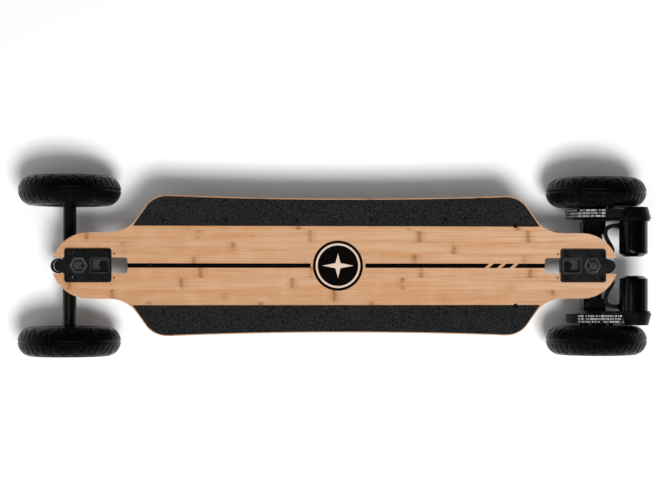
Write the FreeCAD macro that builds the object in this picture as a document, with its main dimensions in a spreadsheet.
import FreeCAD, Part
import math
import os
import re
import Sketcher

# An electric skateboard: a bamboo deck on two double-pivot trucks with 7 inch air tyres,
# and two belt-driven wheels at the rear. Millimetres. +X is forward, +Y is the rider's left,
# +Z is up. The origin is on the ground, midway between the axles.
# Both trucks are described for the front end, and the rear one is the same turned about Z.

DIMENSIONS = {
    # deck
    "deck_length": 972, "deck_thick": 12, "deck_top": 152,
    "neck_half": 56.8, "neck_x": 361, "nose_x": 425,
    "shoulder_half": 121.6, "shoulder_x": 315.5, "waist_half": 115,
    "neck_round": 56, "shoulder_round": 45,
    "slot_half": 13.75, "slot_x": 360, "slot_round": 5,
    "band_half": 68, "grip_thick": 0.9, "grip_inset": 1.7,
    # truck bolt pattern, and the two small pilot holes beside it
    "bolt_near": 396.5, "bolt_spare": 450.5, "bolt_far": 460, "bolt_row": 20.65,
    "bolt_radius": 2.5, "bolt_hole": 2.75, "bolt_head": 4.3, "bolt_sink": 4.9, "bolt_recess": 2.2,
    "bolt_nut_thick": 5, "bolt_nut_corner": 4.6,
    "pilot_x": 382.8, "pilot_radius": 1.6, "pilot_deep": 8,
    # baseplate
    "plate_in": 387, "plate_out": 466.4, "plate_half": 28.7, "plate_thick": 6, "plate_round": 4.5,
    "boss_in": 390, "boss_half": 12.3, "boss_drop": 32,
    "tab_half": 10.25, "tab_drop": 3, "tab_end": 483.5,
    "window_in": 7.4, "window_out": 18.9, "window_half": 10.9, "window_rim": 1.3,
    # base pivot: the link's ring sits on the inner kingpin, its pin in the outer cup
    "base_x": 407, "base_z": 115, "base_kingpin_lean": 10, "base_pivot_lean": 19,
    # hanger pivot: the hanger's ring sits on the outer kingpin, its pin in the inner cup
    "hang_x": 483, "hang_z": 97, "hang_kingpin_lean": 15, "hang_pivot_lean": 25,
    "kingpin_radius": 4.8, "bushing_radius": 9.5, "bushing_high": 12, "bushing_low": 10,
    "washer_thick": 1.5, "nut_thick": 7, "nut_corner": 8, "head_corner": 7.2,
    "ring_half": 4, "ring_hole": 8, "link_ring": 14, "hanger_ring": 13,
    "pivot_radius": 6, "cup_radius": 8.5, "cup_gap": 0.08, "cup_long": 15,
    "base_cup_at": 54, "hang_cup_at": 52, "base_seat": 10, "hang_seat": 6,
    # axle line
    "axle_x": 464, "axle_z": 89, "axle_radius": 6, "axle_end": 155,
    "hanger_middle": 12.5, "hanger_root": 12.25, "hanger_tip": 11.4, "hanger_end": 108,
    # wheels
    "track_half": 131, "tyre_section": 26.5, "tyre_wall": 5, "rim_radius": 44, "rim_inner": 38,
    "rim_half": 23, "hub_boss": 18, "bearing_radius": 14, "bearing_width": 8, "bearing_gap": 0.05,
    "spoke_width": 14, "spoke_half": 9, "axle_nut_thick": 6,
    "axle_nut_corner": 10.4, "spacer_radius": 8.5,
    # belt drive
    "belt_pitch": 5, "gear_teeth": 66, "pulley_teeth": 15, "pitch_drop": 0.57, "groove_radius": 1.6,
    "belt_width": 15, "belt_middle": 92.5, "belt_back": 1.4, "belt_gap": 0.3,
    "motor_back": 58.2, "motor_up": 37.8, "motor_radius": 25, "motor_inner": 17, "motor_outer": 79,
    "motor_chamfer": 5, "shaft_radius": 4, "shaft_gap": 0.06, "gear_bore": 15,
    "motor_screw_circle": 19, "rotor_radius": 17, "gland_radius": 5, "gland_y": 70, "gland_up": 37,
    "post_circle": 27, "post_radius": 4.5, "clamp_inner": 57, "clamp_half": 15,
    "clamp_reach": 26, "clamp_behind": 14, "clamp_screw_back": 19, "clamp_screw_y": 68,
    "mount_thick": 4, "mount_round": 29, "mount_bore": 12,
    "cover_radius": 31, "cover_tip": 25.5, "cover_outer": 103.5, "cover_wall": 2, "cover_end": 1.4,
    "flange_thick": 1.2, "flange_radius": 15,
    # cases under the deck
    "case_bottom": 102, "case_half": 90, "case_wall": 3, "gasket_thick": 1, "case_round": 30,
    "battery_front": 333, "battery_back": -197, "control_front": -208, "control_back": -334,
    "case_screw": 1.9, "case_head": 4, "case_sink": 4.2, "case_boss": 6,
    "cell_radius": 10.5, "cell_long": 70, "cell_pitch": 22, "cell_first": -160, "cells_along": 20,
    # controls on the battery case's left wall
    "button_x": 215, "port_x": 255, "control_z": 121, "button_radius": 6, "button_gap": 0.3,
    "cap_radius": 10, "cap_hinge": 270,
    # motor leads
    "lead_radius": 3.8,
}

DECK_SCREWS = [  # (x, y) of the screws that hold the cases, left half and centre line
    (299, 78.5), (193, 78.5), (71, 78.5), (-59, 78.5), (-186, 81), (-221.5, 82), (-308.5, 69.5),
    (322.5, 0), (-324, 0),
]

LEAD_ROUTE = [  # a motor lead from the gland on the motor to the controller case, front-end frame
    (487.4, 70, 126), (467, 67, 125), (464, 44, 124), (483, 30, 124), (478, 17.5, 124),
    (456, 22, 126), (424, 31, 127), (380, 31, 125), (328, 31, 125),
]

document = FreeCAD.newDocument("electric_skateboard")
sheet = document.addObject("Spreadsheet::Sheet", "dims")
for row, (alias, size) in enumerate(DIMENSIONS.items(), start=1):
    sheet.set(f"A{row}", alias.replace("_", " "))
    sheet.set(f"B{row}", str(size))
    sheet.setAlias(f"B{row}", alias)
document.recompute()

ALIAS = re.compile(r"\b(" + "|".join(sorted(DIMENSIONS, key=len, reverse=True)) + r")\b")
TURN = {
    "X": FreeCAD.Rotation(FreeCAD.Vector(0, 0, 1), FreeCAD.Vector(1, 0, 0)),
    "Y": FreeCAD.Rotation(FreeCAD.Vector(0, 0, 1), FreeCAD.Vector(0, 1, 0)),
    "Z": FreeCAD.Rotation(),
}
nodes = []


# ---------------------------------------------------------------- expressions and primitives

def full(expression):
    """The expression with each dimension's name pointing at the sheet."""
    return ALIAS.sub(lambda found: "dims." + found.group(0), str(expression))


def value(expression):
    """The number that an expression comes to."""
    return float(sheet.evalExpression(full(expression)))


def bind(thing, attribute, expression):
    thing.setExpression(attribute, full(expression))


def place(thing, x, y, z):
    for axis, expression in zip("xyz", (x, y, z)):
        bind(thing, "Placement.Base." + axis, expression)
    return thing


def block(x_low, x_high, y_low, y_high, z_low, z_high):
    thing = document.addObject("Part::Box", "Block")
    bind(thing, "Length", f"({x_high}) - ({x_low})")
    bind(thing, "Width", f"({y_high}) - ({y_low})")
    bind(thing, "Height", f"({z_high}) - ({z_low})")
    return place(thing, x_low, y_low, z_low)


def rod(axis, radius, length, x=0, y=0, z=0):
    """A round bar that starts at x, y, z and runs along one axis."""
    thing = document.addObject("Part::Cylinder", "Rod")
    thing.Placement.Rotation = TURN[axis]
    bind(thing, "Radius", radius)
    bind(thing, "Height", length)
    return place(thing, x, y, z)


def cone(axis, start_radius, end_radius, length, x=0, y=0, z=0):
    thing = document.addObject("Part::Cone", "Cone")
    thing.Placement.Rotation = TURN[axis]
    bind(thing, "Radius1", start_radius)
    bind(thing, "Radius2", end_radius)
    bind(thing, "Height", length)
    return place(thing, x, y, z)


def hexagon(axis, corner_radius, length, x=0, y=0, z=0):
    thing = document.addObject("Part::Prism", "Hexagon")
    thing.Placement.Rotation = TURN[axis]
    thing.Polygon = 6
    bind(thing, "Circumradius", corner_radius)
    bind(thing, "Height", length)
    return place(thing, x, y, z)


def cut(base, *tools):
    for tool in tools:
        thing = document.addObject("Part::Cut", "Cut")
        thing.Base = base
        thing.Tool = tool
        base = thing
    return base


def fuse(*things):
    thing = document.addObject("Part::MultiFuse", "Fuse")
    thing.Shapes = list(things)
    thing.Refine = True
    return thing


def common(base, tool):
    thing = document.addObject("Part::Common", "Common")
    thing.Base = base
    thing.Tool = tool
    return thing


def together(*things):
    """Separate solids as one object."""
    thing = document.addObject("Part::Compound", "Group")
    thing.Links = list(things)
    return thing


def tube(axis, outer, inner, length, x=0, y=0, z=0):
    return cut(rod(axis, outer, length, x, y, z), rod(axis, inner, length, x, y, z))


def mirror(thing):
    """The same thing on the other side of the board."""
    copy = document.addObject("Part::Mirroring", "Mirror")
    copy.Source = thing
    copy.Normal = FreeCAD.Vector(0, 1, 0)
    return copy


def turn(thing):
    """The same thing at the rear end of the board."""
    copy = together(thing)
    copy.Placement.Rotation = FreeCAD.Rotation(FreeCAD.Vector(0, 0, 1), 180)
    return copy


def lean(thing, x, z, angle):
    """A thing made about its own origin, tipped back about Y by an angle and set at x, z."""
    copy = together(thing)
    copy.Placement.Rotation = FreeCAD.Rotation(FreeCAD.Vector(0, 1, 0), -value(angle))
    bind(copy, "Placement.Rotation.Angle", f"-({angle}) * 1 deg")
    return place(copy, x, 0, z)


def on_base_kingpin(thing):
    return lean(thing, "base_x", "base_z", "base_kingpin_lean")


def on_base_pivot(thing):
    return lean(thing, "base_x", "base_z", "base_pivot_lean")


def on_hanger_kingpin(thing):
    return lean(thing, "hang_x", "hang_z", "hang_kingpin_lean")


def on_hanger_pivot(thing):
    return lean(thing, "hang_x", "hang_z", "hang_pivot_lean")


def node(name, thing):
    """One sub-part: the label names its file."""
    thing.Label = name
    nodes.append(thing)
    return thing


# ---------------------------------------------------------------- sketched bodies

def new_body():
    return document.addObject("PartDesign::Body", "Body")


def datum(body, role):
    return [feature for feature in body.Origin.OriginFeatures if feature.Role == role][0]


def new_sketch(body, plane):
    sketch = body.newObject("Sketcher::SketchObject", "Profile")
    sketch.AttachmentSupport = [(datum(body, plane), "")]
    sketch.MapMode = "FlatFace"
    return sketch


def pin_point(sketch, geometry, position, across, up):
    """Ties one point of a sketch to the sheet."""
    for kind, expression in (("DistanceX", across), ("DistanceY", up)):
        size = value(expression)
        index = sketch.addConstraint(Sketcher.Constraint(kind, -1, 1, geometry, position, size))
        sketch.setExpression(f"Constraints[{index}]", full(expression))


def pin_radius(sketch, geometry, expression):
    index = sketch.addConstraint(Sketcher.Constraint("Radius", geometry, value(expression)))
    sketch.setExpression(f"Constraints[{index}]", full(expression))


def profile(body, plane, points):
    """A closed outline. A point is (across, up), or (across, up, radius, via across, via up)
    where an arc leads on to the next point."""
    sketch = new_sketch(body, plane)
    spots = [FreeCAD.Vector(value(point[0]), value(point[1]), 0) for point in points]
    ends = []
    for index, point in enumerate(points):
        start = spots[index]
        end = spots[(index + 1) % len(spots)]
        if len(point) == 2:
            geometry = sketch.addGeometry(Part.LineSegment(start, end), False)
        else:
            via = FreeCAD.Vector(value(point[3]), value(point[4]), 0)
            geometry = sketch.addGeometry(Part.Arc(start, via, end), False)
        forward = sketch.getPoint(geometry, 1).distanceToPoint(start) < 0.001
        ends.append((1, 2) if forward else (2, 1))
    for index, point in enumerate(points):
        after = (index + 1) % len(points)
        sketch.addConstraint(
            Sketcher.Constraint("Coincident", index, ends[index][1], after, ends[after][0]))
        pin_point(sketch, index, ends[index][0], point[0], point[1])
        if len(point) > 2:
            pin_radius(sketch, index, point[2])
    return sketch


def pad(body, sketch, length, both_ways=False):
    feature = body.newObject("PartDesign::Pad", "Pad")
    feature.Profile = sketch
    feature.Midplane = both_ways
    bind(feature, "Length", length)
    document.recompute()
    return feature


def plate(points, z_low, z_high):
    """An outline in plan, from one height to another."""
    body = new_body()
    pad(body, profile(body, "XY_Plane", points), f"({z_high}) - ({z_low})")
    return place(body, 0, 0, z_low)


def slab(points, width, y="0"):
    """An outline seen from the side, (x, z), centred on y."""
    body = new_body()
    pad(body, profile(body, "XZ_Plane", points), width, both_ways=True)
    return place(body, 0, y, 0)


def fillet(body, names, radius):
    """Rounds the named edges or faces of the body's last feature."""
    rounded = body.Tip
    feature = body.newObject("PartDesign::Fillet", "Fillet")
    feature.Base = (rounded, names)
    bind(feature, "Radius", radius)
    document.recompute()


def round_uprights(body, radius, spots):
    """Rounds the vertical edges at the given (x, y), and at their mirror images."""
    wanted = [(abs(value(x)), abs(value(y))) for x, y in spots]
    names = []
    for index, edge in enumerate(body.Tip.Shape.Edges, start=1):
        low = edge.Vertexes[0].Point
        high = edge.Vertexes[-1].Point
        upright = math.hypot(high.x - low.x, high.y - low.y) < 0.001 and high.z != low.z
        near = any(math.hypot(abs(low.x) - x, abs(low.y) - y) < 0.01 for x, y in wanted)
        if upright and near:
            names.append(f"Edge{index}")
    fillet(body, names, radius)


def round_top(body, radius):
    """Rounds every edge of the body's highest face."""
    shape = body.Tip.Shape
    index = max(range(len(shape.Faces)), key=lambda face: shape.Faces[face].CenterOfMass.z)
    fillet(body, [f"Face{index + 1}"], radius)


def spin(points, axis="V_Axis"):
    """An outline of (radius, y) turned about the Y axis."""
    body = new_body()
    sketch = profile(body, "XY_Plane", points)
    feature = body.newObject("PartDesign::Revolution", "Revolution")
    feature.Profile = sketch
    feature.ReferenceAxis = (sketch, [axis])
    feature.Angle = 360
    document.recompute()
    return body


def belt_shape(big_radius, small_radius, width, y):
    """Two circles and their outer tangents: one about the axle, one about the motor shaft."""
    body = new_body()
    sketch = new_sketch(body, "XZ_Plane")
    centres = [("axle_x", "axle_z"), ("axle_x + motor_back", "axle_z + motor_up")]
    radii = [value(big_radius), value(small_radius)]
    spots = [FreeCAD.Vector(value(x), value(z), 0) for x, z in centres]
    between = spots[1] - spots[0]
    heading = math.atan2(between.y, between.x)
    spread = math.acos((radii[0] - radii[1]) / between.Length)
    upper = heading + spread
    lower = heading - spread

    def touch(which, angle):
        return spots[which] + FreeCAD.Vector(math.cos(angle), math.sin(angle), 0) * radii[which]

    axis = FreeCAD.Vector(0, 0, 1)
    circles = [Part.Circle(spot, axis, radius) for spot, radius in zip(spots, radii)]
    sketch.addGeometry(Part.ArcOfCircle(circles[0], upper, lower + 2 * math.pi), False)
    sketch.addGeometry(Part.LineSegment(touch(0, lower), touch(1, lower)), False)
    sketch.addGeometry(Part.ArcOfCircle(circles[1], lower, upper), False)
    sketch.addGeometry(Part.LineSegment(touch(1, upper), touch(0, upper)), False)
    for index in range(4):
        sketch.addConstraint(Sketcher.Constraint("Tangent", index, 2, (index + 1) % 4, 1))
    pin_radius(sketch, 0, big_radius)
    pin_radius(sketch, 2, small_radius)
    pin_point(sketch, 0, 3, *centres[0])
    pin_point(sketch, 2, 3, *centres[1])
    pad(body, sketch, width, both_ways=True)
    return place(body, 0, y, 0)


def toothed_wheel(teeth, width):
    """A timing pulley about the Z axis, with a round groove for each tooth of its belt."""
    body = new_body()
    tip_radius = f"{teeth} * belt_pitch / (2 * pi) - pitch_drop"
    sketch = new_sketch(body, "XY_Plane")
    sketch.addGeometry(Part.Circle(FreeCAD.Vector(), FreeCAD.Vector(0, 0, 1), 1), False)
    pin_point(sketch, 0, 3, "0", "0")
    pin_radius(sketch, 0, tip_radius)
    pad(body, sketch, width)
    groove_sketch = new_sketch(body, "XY_Plane")
    groove_sketch.addGeometry(
        Part.Circle(FreeCAD.Vector(value(tip_radius), 0, 0), FreeCAD.Vector(0, 0, 1), 1), False)
    pin_point(groove_sketch, 0, 3, tip_radius, "0")
    pin_radius(groove_sketch, 0, "groove_radius")
    groove = body.newObject("PartDesign::Pocket", "Groove")
    groove.Profile = groove_sketch
    groove.Type = "ThroughAll"
    groove.Reversed = True
    document.recompute()
    pattern = body.newObject("PartDesign::PolarPattern", "Grooves")
    pattern.Originals = [groove]
    pattern.Axis = (datum(body, "Z_Axis"), [""])
    pattern.Angle = 360
    bind(pattern, "Occurrences", teeth)
    body.Tip = pattern
    document.recompute()
    uncut = math.pi * value(tip_radius) ** 2 * value(width)
    if not 0.7 * uncut < body.Shape.Volume < 0.999 * uncut:
        raise RuntimeError("the belt grooves were not cut")
    return body


def across_board(body, y):
    """Lays a wheel made about Z along Y, with its near face at y, on the axle line."""
    copy = together(body)
    copy.Placement.Rotation = TURN["Y"]
    return place(copy, "axle_x", y, "axle_z")


# ---------------------------------------------------------------- deck

def truck_spots():
    """Every (x, y) of the truck bolt pattern at the front end."""
    return [(x, y) for x in ("bolt_near", "bolt_far", "bolt_spare") for y in ("bolt_row", "-bolt_row")]


def screw_spots(left_only=False, x_low=-400, x_high=400):
    """(x, y) of the case screws between two stations."""
    spots = [(x, y) for x, y in DECK_SCREWS if x_low < x < x_high]
    if left_only:
        return [(x, y) for x, y in spots if y > 0]
    return spots + [(x, -y) for x, y in spots if y > 0]


def used_truck_spots():
    return [(x, y) for x, y in truck_spots() if x != "bolt_spare"]


def both_ends(spots):
    return spots + [(f"-({x})", y) for x, y in spots]


def holes(spots, radius, z_low, z_high):
    return together(*[rod("Z", radius, f"({z_high}) - ({z_low})", x, y, z_low) for x, y in spots])


def make_deck():
    reach = "(deck_length / 2 - nose_x)"
    drop = "(neck_half - slot_half)"
    radius = f"({reach}^2 + {drop}^2) / (2 * {drop})"
    arc_x = f"nose_x + {radius} * sin(45)"
    arc_y = f"neck_half - {radius} * (1 - cos(45))"
    half = [
        ("slot_x", "slot_half"),
        ("deck_length / 2", "slot_half", radius, arc_x, arc_y),
        ("nose_x", "neck_half"),
        ("neck_x", "neck_half"),
        ("shoulder_x", "shoulder_half",
         "(shoulder_x^2 + (shoulder_half - waist_half)^2) / (2 * (shoulder_half - waist_half))",
         "0", "waist_half"),
        ("-shoulder_x", "shoulder_half"),
        ("-neck_x", "neck_half"),
        ("-nose_x", "neck_half", radius, f"-({arc_x})", arc_y),
        ("-deck_length / 2", "slot_half"),
        ("-slot_x", "slot_half"),
    ]
    turned = []
    for point in half:
        back = [f"-({point[0]})", f"-({point[1]})"]
        if len(point) > 2:
            back += [point[2], f"-({point[3]})", f"-({point[4]})"]
        turned.append(tuple(back))
    board = plate(half + turned, "deck_top - deck_thick", "deck_top")
    round_uprights(board, "slot_round", [("slot_x", "slot_half")])
    round_uprights(board, "neck_round", [("neck_x", "neck_half")])
    round_uprights(board, "shoulder_round", [("shoulder_x", "shoulder_half")])
    below = "deck_top - deck_thick - 1"
    above = "deck_top + 1"
    board = cut(
        board,
        holes(both_ends(truck_spots()), "bolt_hole", below, above),
        holes(both_ends([("pilot_x", "bolt_row"), ("pilot_x", "-bolt_row")]),
              "pilot_radius", "deck_top - pilot_deep", above),
        holes(screw_spots(), "case_screw + 0.1", below, above),
        holes(screw_spots(), "case_sink", "deck_top - 1.3", above))
    node("deck", board)


def make_grips():
    """The grip covers each side of the deck, outside the bare wood band."""
    drop = "tan(atan((shoulder_half - neck_half) / (neck_x - shoulder_x)) / 2) * grip_inset"
    slope = "(neck_x - shoulder_x) / (shoulder_half - neck_half)"
    corner_x = f"(shoulder_x - {drop})"
    corner_y = "(shoulder_half - grip_inset)"
    band_x = f"{corner_x} + ({corner_y} - band_half) * {slope}"
    sag = "(shoulder_half - waist_half)"
    points = [
        (band_x, "band_half"),
        (corner_x, corner_y, f"({corner_x}^2 + {sag}^2) / (2 * {sag})",
         "0", "waist_half - grip_inset"),
        (f"-{corner_x}", corner_y),
        (f"-({band_x})", "band_half"),
    ]
    sheet_body = plate(points, "deck_top", "deck_top + grip_thick")
    round_uprights(sheet_body, "shoulder_round - grip_inset", [(corner_x, corner_y)])
    left = cut(sheet_body, holes(screw_spots(left_only=True), "case_sink", "deck_top - 1",
                                 "deck_top + grip_thick + 1"))
    node("grip_left", left)
    node("grip_right", mirror(left))


# ---------------------------------------------------------------- trucks

def tab_outline(y_half_root, x_low, x_root):
    """The plan of a plate that ends in a narrow tab, counter-clockwise."""
    right = [(x_low, f"-{y_half_root}"), (x_root, f"-{y_half_root}")]
    if y_half_root == "plate_half":
        right.append((x_root, "-(tab_half + 3)"))
    right.append((f"{x_root} + 3", "-tab_half"))
    right.append(("tab_end", "-tab_half"))
    return right + [(x, y[1:]) for x, y in reversed(right)]


def make_baseplate():
    flange = plate(tab_outline("plate_half", "plate_in", "plate_out"),
                   "deck_top", "deck_top + plate_thick")
    round_uprights(flange, "plate_round", [("plate_in", "plate_half"), ("plate_out", "plate_half")])
    round_uprights(flange, "tab_half - 0.1", [("tab_end", "tab_half")])
    round_top(flange, "1")
    lower = plate(tab_outline("boss_half", "boss_in", "plate_out"), "deck_top - boss_drop", "deck_top")
    round_uprights(lower, "tab_half - 0.1", [("tab_end", "tab_half")])
    side = slab([
        ("boss_in - 1", "deck_top + 1"), ("boss_in - 1", "base_z + 12.9"),
        ("base_x + 10", "base_z + 17.9"), ("base_x + 12", "base_z + 23"),
        ("axle_x - 9", "base_z + 32"), ("axle_x - 6", "base_z + 32"),
        ("axle_x - 6", "base_z + 7.5"), ("tab_end + 2", "base_z + 17.5"),
        ("tab_end + 2", "deck_top + 1"),
    ], "4 * boss_half")
    casting = fuse(flange, common(lower, side))
    window = on_base_kingpin(block("-window_in", "window_out", "-window_half", "window_half",
                                   "ring_half + bushing_high + base_seat", "60"))
    kingpin_hole = on_base_kingpin(rod("Z", "kingpin_radius", "40", 0, 0, 0))
    cup_pocket = on_base_pivot(rod("X", "cup_radius", "cup_long + 8", 46, 0, 0))
    tab_step = block("plate_out + 2.5", "tab_end + 1", "-20", "20",
                     "deck_top + plate_thick - tab_drop", "deck_top + plate_thick + 1")
    plate_top = "deck_top + plate_thick"
    rim_in = "base_x - window_in - 6.5 - window_rim"
    rim_out = "base_x + window_out - 5.5 + window_rim"
    rim_half = "window_half + window_rim"
    rim = plate([(rim_in, f"-({rim_half})"), (rim_out, f"-({rim_half})"), (rim_out, rim_half),
                 (rim_in, rim_half)], f"{plate_top} - 1", f"{plate_top} + 1")
    round_uprights(rim, "2.5", [(rim_in, rim_half), (rim_out, rim_half)])
    return cut(casting, window, rim, kingpin_hole, cup_pocket, tab_step, bushing_room(),
               holes(truck_spots(), "bolt_hole", "deck_top - 1", f"{plate_top} + 1"),
               holes(used_truck_spots(), "bolt_sink", f"{plate_top} - bolt_recess", f"{plate_top} + 1"))


def truck_bolt(x, y):
    """A low round head sunk in the baseplate, and a shank that ends just under its nut."""
    seat = "deck_top + plate_thick - bolt_recess"
    return fuse(
        rod("Z", "bolt_head", "2", x, y, seat),
        rod("Z", "bolt_radius", f"{seat} - deck_top + deck_thick + bolt_nut_thick + 2", x, y,
            "deck_top - deck_thick - bolt_nut_thick - 2"))


def truck_nut(x, y):
    bottom = "deck_top - deck_thick - bolt_nut_thick"
    return cut(hexagon("Z", "bolt_nut_corner", "bolt_nut_thick", x, y, bottom),
               rod("Z", "bolt_radius", "bolt_nut_thick", x, y, bottom))


def kingpin_parts(top_end, head):
    """A kingpin about Z with the ring's centre at 0: bolt, lower washer and nut."""
    washer_z = "-(ring_half + bushing_low + washer_thick)"
    nut_z = f"{washer_z} - nut_thick"
    bolt = fuse(rod("Z", "kingpin_radius", f"{top_end} - ({nut_z}) + 3", 0, 0, f"{nut_z} - 3"), head)
    washer = tube("Z", "bushing_radius", "kingpin_radius", "washer_thick", 0, 0, washer_z)
    nut = cut(hexagon("Z", "nut_corner", "nut_thick", 0, 0, nut_z),
              rod("Z", "kingpin_radius", "nut_thick", 0, 0, nut_z))
    return together(bolt, washer, nut)


def base_kingpin():
    seat = "(ring_half + bushing_high + base_seat)"
    return on_base_kingpin(kingpin_parts(seat, hexagon("Z", "head_corner", "7", 0, 0, seat)))


def hanger_kingpin():
    seat = "(ring_half + bushing_high + hang_seat)"
    head = cut(rod("Z", "7.5", "6", 0, 0, seat), hexagon("Z", "3.4", "4", 0, 0, f"{seat} + 2.5"))
    return on_hanger_kingpin(kingpin_parts(seat, head))


def bushing_pair():
    """A barrel above the ring and a cone below it, about a kingpin."""
    barrel = tube("Z", "bushing_radius", "kingpin_radius + 0.1", "bushing_high", 0, 0, "ring_half")
    low = "-(ring_half + bushing_low)"
    taper = cut(cone("Z", "bushing_radius - 1.5", "bushing_radius", "bushing_low", 0, 0, low),
                rod("Z", "kingpin_radius + 0.1", "bushing_low", 0, 0, low))
    return together(barrel, taper)


def bushing_room():
    """The space round the base bushings, above and below the link's ring."""
    above = rod("Z", "bushing_radius + 0.6", "bushing_high", 0, 0, "ring_half")
    below = rod("Z", "bushing_radius + 0.6", "bushing_low", 0, 0, "-(ring_half + bushing_low)")
    return on_base_kingpin(together(above, below))


def cup(start, opens_forward):
    """A blind cup about X, with its closed end 1.5 thick."""
    bore_start = f"{start} + 1.5" if opens_forward else start
    return cut(rod("X", "cup_radius", "cup_long", start, 0, 0),
               rod("X", "pivot_radius + cup_gap", "cup_long - 1.5", bore_start, 0, 0))


def make_link():
    ring = on_base_kingpin(rod("Z", "link_ring", "2 * ring_half", 0, 0, "-ring_half"))
    arm = on_base_pivot(block("9", "46", "-7.5", "7.5", "-7", "7"))
    pin = on_base_pivot(rod("X", "pivot_radius", "22", 44, 0, 0))
    frame = slab([
        ("base_x + 17", "base_z + 8"), ("base_x + 17", "axle_z - 13"),
        ("axle_x - 28", "axle_z - 17"), ("axle_x - 23", "axle_z - 9"),
        ("axle_x - 24", "axle_z + 14"), ("axle_x - 18", "axle_z + 18"),
        ("axle_x + 2", "axle_z + 21"), ("axle_x + 8", "axle_z + 24"),
        ("axle_x + 7", "axle_z + 32"), ("axle_x - 12", "axle_z + 29"),
        ("axle_x - 22", "axle_z + 36"),
    ], "18")
    boss = on_hanger_kingpin(rod("Z", "11", "12", 0, 0, "ring_half + bushing_high"))
    housing = on_hanger_pivot(rod("X", "cup_radius + 2.5", "cup_long + 2", "-hang_cup_at - 2", 0, 0))
    return cut(
        fuse(ring, arm, pin, frame, boss, housing),
        on_base_kingpin(rod("Z", "ring_hole", "2 * ring_half + 16", 0, 0, "-ring_half - 8")),
        on_hanger_kingpin(rod("Z", "kingpin_radius", "40", 0, 0, 0)),
        on_hanger_kingpin(rod("Z", "8", "20", 0, 0, "ring_half + bushing_high + hang_seat")),
        on_hanger_pivot(rod("X", "cup_radius", "cup_long", "-hang_cup_at", 0, 0)),
        on_hanger_kingpin(rod("Z", "bushing_radius + 1", "bushing_high", 0, 0, "ring_half")),
        bushing_room())


def make_hanger():
    middle = rod("Y", "hanger_middle", "60", "axle_x", "-30", "axle_z")
    arm = cone("Y", "hanger_root", "hanger_tip", "hanger_end - 28", "axle_x", 28, "axle_z")
    ring = on_hanger_kingpin(rod("Z", "hanger_ring", "2 * ring_half", 0, 0, "-ring_half"))
    pin = on_hanger_pivot(rod("X", "pivot_radius", "32", "-50", 0, 0))
    web = slab([
        ("axle_x", "axle_z - 10"), ("axle_x + 12", "axle_z - 2"), ("axle_x + 14", "axle_z + 12"),
        ("axle_x", "axle_z + 11"),
    ], "20")
    clear = "bushing_radius + 1"
    return cut(
        fuse(middle, arm, mirror(arm), ring, pin, web),
        rod("Y", "axle_radius", "2 * hanger_end", "axle_x", "-hanger_end", "axle_z"),
        on_hanger_kingpin(rod("Z", "ring_hole", "2 * ring_half + 2", 0, 0, "-ring_half - 1")),
        on_hanger_kingpin(rod("Z", clear, "20", 0, 0, "ring_half")),
        on_hanger_kingpin(rod("Z", clear, "30", 0, 0, "-ring_half - 30")))


def make_axle():
    return rod("Y", "axle_radius", "2 * axle_end", "axle_x", "-axle_end", "axle_z")


def axle_hardware():
    """One side's spacer against the hanger, outer washer and nut."""
    inner_face = "track_half - rim_half + 2"
    outer_face = "track_half + rim_half - 6"
    spacer = tube("Y", "spacer_radius", "axle_radius", f"{inner_face} - hanger_end - 0.1",
                  "axle_x", "hanger_end", "axle_z")
    washer = tube("Y", "spacer_radius", "axle_radius", "1", "axle_x", f"{outer_face} + 0.1", "axle_z")
    nut = cut(
        hexagon("Y", "axle_nut_corner", "axle_nut_thick", "axle_x", f"{outer_face} + 1.1", "axle_z"),
        rod("Y", "axle_radius", "axle_nut_thick", "axle_x", f"{outer_face} + 1.1", "axle_z"))
    return together(spacer, washer, nut)


def make_trucks():
    plate_casting = make_baseplate()
    node("front_baseplate", plate_casting)
    node("rear_baseplate", turn(plate_casting))
    bolts = together(*[truck_bolt(x, y) for x, y in used_truck_spots()])
    nuts = together(*[truck_nut(x, y) for x, y in used_truck_spots()])
    kingpin = base_kingpin()
    bushings = on_base_kingpin(bushing_pair())
    base_cup = on_base_pivot(cup("base_cup_at", opens_forward=False))
    for name, thing in (("truck_bolts", bolts), ("truck_nuts", nuts), ("base_kingpins", kingpin),
                        ("base_bushings", bushings), ("base_pivot_cups", base_cup)):
        node(name, together(thing, turn(thing)))
    moving = {
        "link": make_link(),
        "hanger_kingpin": hanger_kingpin(),
        "hanger_bushings": on_hanger_kingpin(bushing_pair()),
        "link_cup": on_hanger_pivot(cup("-hang_cup_at", opens_forward=True)),
        "hanger": make_hanger(),
        "axle": make_axle(),
        "axle_hardware": together(axle_hardware(), mirror(axle_hardware())),
    }
    for name, thing in moving.items():
        node("front_" + name, together(thing))
        node("rear_" + name, turn(thing))


# ---------------------------------------------------------------- wheels

def make_tyre():
    """A round section, open at the beads like a real carcass."""
    middle = "axle_z - tyre_section"
    outer = f"sqrt(tyre_section^2 - ({middle} - rim_radius)^2)"
    hollow = "(tyre_section - tyre_wall)"
    inner = f"sqrt({hollow}^2 - ({middle} - rim_radius)^2)"
    return spin([
        ("rim_radius", f"-{outer}", "tyre_section", "axle_z", "0"),
        ("rim_radius", outer),
        ("rim_radius", inner, hollow, "axle_z - tyre_wall", "0"),
        ("rim_radius", f"-{inner}"),
    ])


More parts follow.
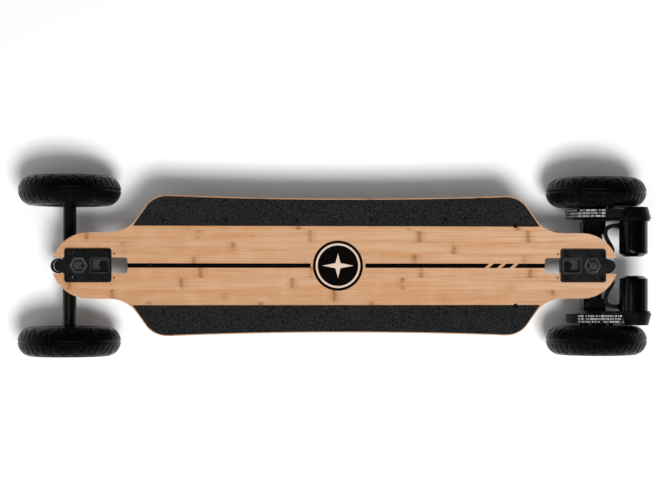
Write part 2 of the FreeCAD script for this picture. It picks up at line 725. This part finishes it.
def make_hub():
    barrel = tube("Y", "rim_radius", "rim_inner", "2 * rim_half", 0, "-rim_half", 0)
    lip = tube("Y", "rim_radius + 2", "rim_radius - 1", "2", 0, "rim_half - 2", 0)
    boss = rod("Y", "hub_boss", "2 * rim_half - 4", 0, "2 - rim_half", 0)
    spokes = []
    for index in range(5):
        spoke = together(block("hub_boss - 3", "rim_inner + 1", "-spoke_half", "spoke_half",
                               "-spoke_width / 2", "spoke_width / 2"))
        spoke.Placement.Rotation = FreeCAD.Rotation(FreeCAD.Vector(0, 1, 0), 72 * index)
        spokes.append(spoke)
    web = tube("Y", "rim_inner + 1", "rim_inner - 5", "4", 0, "-2", 0)
    seat = rod("Y", "bearing_radius", "bearing_width + 4", 0, "rim_half - 14", 0)
    return cut(fuse(barrel, lip, mirror(lip), boss, web, *spokes),
               rod("Y", "11.5", "2 * rim_half", 0, "-rim_half", 0), seat, mirror(seat))


def make_bearings():
    """Two ball bearings with shallow shield recesses, and the tube between their inner rings."""
    bore = "axle_radius + bearing_gap"
    ring = tube("Y", "bearing_radius", bore, "bearing_width", 0, "rim_half - 14", 0)
    recess = tube("Y", "bearing_radius - 2", "axle_radius + 2", "0.6", 0, "rim_half - 6.6", 0)
    bearing = cut(ring, recess)
    between = tube("Y", "8.5", bore, "2 * rim_half - 28", 0, "14 - rim_half", 0)
    return together(bearing, mirror(bearing), between)


def make_wheels():
    pieces = {"tyre": make_tyre(), "hub": make_hub(), "bearings": make_bearings()}
    for end, x in (("front", "axle_x"), ("rear", "-axle_x")):
        for side, y in (("left", "track_half"), ("right", "-track_half")):
            for name, thing in pieces.items():
                node(f"{end}_{side}_{name}", place(together(thing), x, y, "axle_z"))


# ---------------------------------------------------------------- belt drive, front-end frame

SHAFT_X = "axle_x + motor_back"
SHAFT_Z = "axle_z + motor_up"


def shaft_rod(radius, y_low, y_high):
    return rod("Y", radius, f"({y_high}) - ({y_low})", SHAFT_X, y_low, SHAFT_Z)


def make_drive_gear():
    """The toothed rim, a web that clears the hanger, and posts that reach the hub's spokes."""
    half = "(belt_width / 2 + 0.5)"
    rim = across_board(toothed_wheel("gear_teeth", f"2 * {half}"), f"belt_middle - {half}")
    deep = rod("Y", "44", "6", "axle_x", f"belt_middle - {half} - 1", "axle_z")
    post = rod("Y", "post_radius", "track_half - spoke_half - belt_middle",
               "axle_x + post_circle", "belt_middle", "axle_z")
    posts = []
    for index in range(5):
        copy = together(post)
        copy.Placement = FreeCAD.Placement(
            FreeCAD.Vector(), FreeCAD.Rotation(FreeCAD.Vector(0, 1, 0), 72 * index),
            FreeCAD.Vector(value("axle_x"), 0, value("axle_z")))
        posts.append(copy)
    return cut(fuse(cut(rim, deep), *posts),
               rod("Y", "gear_bore", "60", "axle_x", "belt_middle - 30", "axle_z"))


def make_belt():
    big = "gear_teeth * belt_pitch / (2 * pi) - pitch_drop + belt_gap"
    small = "pulley_teeth * belt_pitch / (2 * pi) - pitch_drop + belt_gap"
    return cut(belt_shape(f"{big} + belt_back", f"{small} + belt_back", "belt_width", "belt_middle"),
               belt_shape(big, small, "belt_width + 2", "belt_middle"))


def make_motor_pulley():
    half = "(belt_width / 2 + 0.4)"
    toothed = together(toothed_wheel("pulley_teeth", f"2 * {half}"))
    toothed.Placement.Rotation = TURN["Y"]
    place(toothed, SHAFT_X, f"belt_middle - {half}", SHAFT_Z)
    inner = shaft_rod("flange_radius", f"belt_middle - {half} - flange_thick", f"belt_middle - {half}")
    outer = shaft_rod("flange_radius", f"belt_middle + {half}", f"belt_middle + {half} + flange_thick")
    return cut(fuse(toothed, inner, outer), shaft_rod("shaft_radius", "motor_outer", "110"))


def make_rotor():
    return fuse(shaft_rod("shaft_radius", "motor_inner + 3", "belt_middle + 9"),
                shaft_rod("rotor_radius", "motor_inner + 9", "motor_outer - 11"))


def motor_screw_spots():
    """Four screws about the motor shaft, as (x, z)."""
    return [(f"{SHAFT_X} + motor_screw_circle * cos({angle})",
             f"{SHAFT_Z} + motor_screw_circle * sin({angle})") for angle in (45, 135, 225, 315)]


def motor_screw(x, z):
    return fuse(rod("Y", "3.5", "2.5", x, "motor_outer + mount_thick - 2.5", z),
                rod("Y", "2", "7.5", x, "motor_outer - 6", z))


def make_motor_can():
    body = fuse(shaft_rod("motor_radius", "motor_inner + motor_chamfer", "motor_outer"),
                cone("Y", "motor_radius - 8", "motor_radius", "motor_chamfer", SHAFT_X,
                     "motor_inner", SHAFT_Z),
                rod("X", "gland_radius", "18", "axle_x + 24", "gland_y", "axle_z + gland_up"))
    hollow = fuse(shaft_rod("motor_radius - 4", "motor_inner + 7", "motor_outer - 7"),
                  shaft_rod("shaft_radius + shaft_gap", "motor_inner + 2", "motor_outer + 1"))
    return cut(body, hollow, *[motor_screw(x, z) for x, z in motor_screw_spots()])


def make_motor_mount():
    """A clamp about the hanger's arm, and the plate that the motor is screwed to."""
    face = belt_shape("24", "mount_round", "mount_thick", "motor_outer + mount_thick / 2")
    clamp = block("axle_x - clamp_reach", "axle_x + clamp_behind", "clamp_inner", "motor_outer",
                  "axle_z - clamp_half", "axle_z + clamp_half")
    slit = block("axle_x - clamp_reach - 9", "axle_x", "clamp_inner - 6", "motor_outer + 9",
                 "axle_z - 1", "axle_z + 1")
    return cut(fuse(face, clamp),
               rod("Y", "mount_bore", "60", "axle_x", "clamp_inner - 6", "axle_z"), slit,
               shaft_rod("8", "motor_outer - 1", "motor_outer + 9"), clamp_screw(),
               *[motor_screw(x, z) for x, z in motor_screw_spots()])


def clamp_screw():
    """The screw that closes the clamp: its head is on top and its shank crosses the slit."""
    x = "axle_x - clamp_screw_back"
    return fuse(rod("Z", "4.2", "4", x, "clamp_screw_y", "axle_z + clamp_half"),
                rod("Z", "2.5", "2 * clamp_half - 2", x, "clamp_screw_y", "axle_z + 2 - clamp_half"))


def make_pulley_cover():
    """A tapered cup over the motor pulley, open where the belt leaves for the drive gear."""
    start = "(motor_outer + mount_thick)"
    big = "gear_teeth * belt_pitch / (2 * pi) + 4"
    small = "pulley_teeth * belt_pitch / (2 * pi) + 4"
    belt_room = belt_shape(big, small, "belt_width + 3", "belt_middle")
    shell = cut(cone("Y", "cover_radius", "cover_tip", f"cover_outer - {start}",
                     SHAFT_X, start, SHAFT_Z),
                cone("Y", "cover_radius - cover_wall", "cover_tip - cover_wall",
                     f"cover_outer - cover_end - {start} + 1", SHAFT_X, f"{start} - 1", SHAFT_Z))
    return cut(shell, rod("Y", "56.5", "40", "axle_x", "motor_outer", "axle_z"), belt_room)


def round_route(points):
    """Straight runs joined by tangent arcs, each as large as its two runs allow."""
    corners = [FreeCAD.Vector(*point) for point in points]
    edges = []
    length = 0.0
    start = corners[0]
    for before, corner, after in zip(corners, corners[1:], corners[2:]):
        back = (before - corner).normalize()
        ahead = (after - corner).normalize()
        bend = math.pi - back.getAngle(ahead)
        reach = 0.45 * min((before - corner).Length, (after - corner).Length)
        radius = reach / math.tan(bend / 2)
        print(f"lead bend radius {radius:.1f} mm")
        first = corner + back * reach
        last = corner + ahead * reach
        inward = (back + ahead).normalize()
        middle = corner + inward * (radius / math.cos(bend / 2) - radius)
        edges.append(Part.LineSegment(start, first).toShape())
        edges.append(Part.Arc(first, middle, last).toShape())
        length += (first - start).Length + radius * bend
        start = last
    edges.append(Part.LineSegment(start, corners[-1]).toShape())
    length += (corners[-1] - start).Length
    return Part.Wire(edges), length


def make_lead():
    """One motor lead, swept along its route."""
    path, length = round_route(LEAD_ROUTE)
    radius = value("lead_radius")
    heading = FreeCAD.Vector(*LEAD_ROUTE[1]) - FreeCAD.Vector(*LEAD_ROUTE[0])
    section = Part.Wire([Part.Circle(FreeCAD.Vector(*LEAD_ROUTE[0]), heading, radius).toShape()])
    solid = path.makePipeShell([section], True, True)
    if abs(solid.Volume / (math.pi * radius ** 2 * length) - 1) > 0.01:
        raise RuntimeError("the lead's volume does not match its length")
    print(f"lead length {length:.0f} mm")
    thing = document.addObject("Part::Feature", "Lead")
    thing.Shape = solid
    return thing


def make_drive():
    gear = make_drive_gear()
    pulley = make_motor_pulley()
    rotor = make_rotor()
    for name, thing in (("drive_gear", gear), ("motor_pulley", pulley), ("motor_rotor", rotor)):
        node("right_" + name, turn(thing))
        node("left_" + name, turn(mirror(thing)))
    screws = together(clamp_screw(), *[motor_screw(x, z) for x, z in motor_screw_spots()])
    for name, thing in (("drive_belts", make_belt()), ("motor_cans", make_motor_can()),
                        ("motor_mounts", make_motor_mount()), ("pulley_covers", make_pulley_cover()),
                        ("mount_screws", screws), ("motor_leads", make_lead())):
        node(name, turn(together(thing, mirror(thing))))


# ---------------------------------------------------------------- cases under the deck

CASE_TOP = "(deck_top - deck_thick - gasket_thick)"


def tray(x_low, x_high, inset, z_low, z_high):
    """A rounded box in plan."""
    half = f"(case_half - {inset})"
    low = f"({x_low} + {inset})"
    high = f"({x_high} - {inset})"
    body = plate([(low, f"-{half}"), (high, f"-{half}"), (high, half), (low, half)], z_low, z_high)
    spots = [(low, half), (high, half)]
    round_uprights(body, f"case_round - {inset}", spots)
    return body


def screw_boss(x, y, z_low, z_high):
    """A round boss, with a rib that ties it to the nearest wall."""
    height = f"({z_high}) - ({z_low})"
    post = rod("Z", "case_boss", height, x, y, z_low)
    if y > 0:
        rib = block(x - 3, x + 3, y, "case_half - 1", z_low, z_high)
    elif y < 0:
        rib = block(x - 3, x + 3, "1 - case_half", y, z_low, z_high)
    elif x > 0:
        rib = block(x, "battery_front - 1", -3, 3, z_low, z_high)
    else:
        rib = block("control_back + 1", x, -3, 3, z_low, z_high)
    return fuse(post, rib)


def make_case(x_low, x_high):
    """A moulded tray with a screw boss under each deck screw."""
    outside = tray(x_low, x_high, "0", "case_bottom", CASE_TOP)
    inside = tray(x_low, x_high, "case_wall", "case_bottom + case_wall", f"{CASE_TOP} + 1")
    spots = screw_spots(x_low=value(x_low), x_high=value(x_high))
    bosses = [screw_boss(x, y, "case_bottom + 1", CASE_TOP) for x, y in spots]
    shell = fuse(cut(outside, inside), *bosses)
    return cut(shell, holes(spots, "case_screw", f"{CASE_TOP} - 12", f"{CASE_TOP} + 1"))


def make_gasket(x_low, x_high):
    top = f"{CASE_TOP} + gasket_thick"
    ring = cut(tray(x_low, x_high, "0", CASE_TOP, top),
               tray(x_low, x_high, "case_wall", f"{CASE_TOP} - 1", f"{top} + 1"))
    spots = screw_spots(x_low=value(x_low), x_high=value(x_high))
    pads = [screw_boss(x, y, CASE_TOP, top) for x, y in spots]
    return cut(fuse(ring, *pads),
               holes(spots, "case_screw + 0.1", f"{CASE_TOP} - 1", f"{top} + 1"))


def case_bolt(x, y):
    return fuse(rod("Z", "case_head", "2.2", x, y, "deck_top - 1.3"),
                rod("Z", "case_screw", "deck_thick + 11", x, y, "deck_top - deck_thick - 12"))


def make_cells():
    """Round cells in two files across the case."""
    cells = []
    for index in range(int(value("cells_along"))):
        x = f"cell_first + {index} * cell_pitch"
        for y in ("-cell_long - 0.5", "0.5"):
            cells.append(rod("Y", "cell_radius", "cell_long", x, y,
                             "case_bottom + case_wall + cell_radius + 1"))
    return together(*cells)


def board_with_parts(x_low, x_high, y_half, parts):
    """A circuit board with the given (x_low, x_high, y_low, y_high, height) parts on it."""
    bottom = "case_bottom + case_wall + 3"
    pieces = [block(x_low, x_high, f"-{y_half}", y_half, bottom, f"{bottom} + 1.6")]
    for part in parts:
        pieces.append(block(*part[:4], f"{bottom} + 1", f"{bottom} + 1.6 + {part[4]}"))
    return fuse(*pieces)


def make_controls():
    """The power button and charge port in the battery case's left wall."""
    wall = "case_half"
    button_hole = rod("Y", "button_radius + button_gap", "10", "button_x", f"{wall} - 8", "control_z")
    port_hole = rod("Y", "8", "10", "port_x", f"{wall} - 8", "control_z")
    button = fuse(rod("Y", "button_radius", "6", "button_x", f"{wall} - 5", "control_z"),
                  rod("Y", "2", "8", "button_x", f"{wall} - 12", "control_z"))
    node("power_button", button)
    body = fuse(rod("Y", "8", "14", "port_x", f"{wall} - 14", "control_z"),
                tube("Y", "10", "7", "1.2", "port_x", wall, "control_z"))
    lug = block("cap_hinge - 2", "cap_hinge + 2", f"{wall} + 1", f"{wall} + 5",
                "control_z + 4.2", "control_z + 7")
    low_lug = block("cap_hinge - 2", "cap_hinge + 2", f"{wall} + 1", f"{wall} + 5",
                    "control_z - 7", "control_z - 4.2")
    back = block("port_x + 7.5", "cap_hinge + 2", wall, f"{wall} + 1.2", "control_z - 7",
                 "control_z + 7")
    hinge_pin = rod("Z", "1", "14", "cap_hinge", f"{wall} + 3.2", "control_z - 7")
    socket = fuse(cut(fuse(body, back), rod("Y", "5.5", "20", "port_x", f"{wall} - 11", "control_z")),
                  lug, low_lug, hinge_pin, rod("Y", "1.1", "11", "port_x", f"{wall} - 12", "control_z"))
    node("charge_socket", socket)
    flap = fuse(rod("Y", "cap_radius", "2.2", "port_x", f"{wall} + 1.6", "control_z"),
                block("port_x + 5", "cap_hinge", f"{wall} + 2.2", f"{wall} + 3.8", "control_z - 3.9",
                      "control_z + 3.9"),
                rod("Z", "1.8", "7.8", "cap_hinge", f"{wall} + 3.2", "control_z - 3.9"))
    node("charge_cap", cut(flap, rod("Z", "1.05", "20", "cap_hinge", f"{wall} + 3.2", "control_z - 10")))
    return [button_hole, port_hole]


def make_cases():
    battery = make_case("battery_back", "battery_front")
    control = make_case("control_back", "control_front")
    lead_hole = rod("X", "lead_radius", "20", "control_back - 5", LEAD_ROUTE[-1][1], LEAD_ROUTE[-1][2])
    node("battery_case", cut(battery, *make_controls()))
    node("controller_case", cut(control, lead_hole, mirror(lead_hole)))
    node("case_gaskets", together(make_gasket("battery_back", "battery_front"),
                                  make_gasket("control_back", "control_front")))
    node("case_bolts", together(*[case_bolt(x, y) for x, y in screw_spots()]))
    node("battery_cells", make_cells())
    node("battery_board", board_with_parts("285", "305", "55", [
        ("288", "300", "-45", "-15", "6"), ("288", "300", "5", "40", "4")]))
    node("controller_board", board_with_parts("-312", "-225", "58", [
        ("-300", "-240", "-50", "-8", "14"), ("-300", "-240", "8", "50", "14"),
        ("-236", "-228", "-30", "30", "9")]))


# ---------------------------------------------------------------- build and write

def check_everything():
    document.recompute()
    for thing in document.Objects:
        if "Invalid" in thing.State or "Error" in thing.State:
            raise RuntimeError(f"{thing.Name} did not build: {thing.State}")
    for thing in nodes:
        if thing.Shape.isNull() or not thing.Shape.isValid():
            raise RuntimeError(f"{thing.Label} has no valid shape")


def write_everything():
    os.makedirs("parts", exist_ok=True)
    for thing in nodes:
        thing.Shape.exportStep(f"parts/{thing.Label}.step")
        print(f"{thing.Label}: {len(thing.Shape.Solids)} solids, {thing.Shape.Volume / 1000:.1f} cm3")


make_deck()
make_grips()
make_trucks()
make_wheels()
make_drive()
make_cases()
check_everything()
write_everything()
print(f"{len(nodes)} nodes")
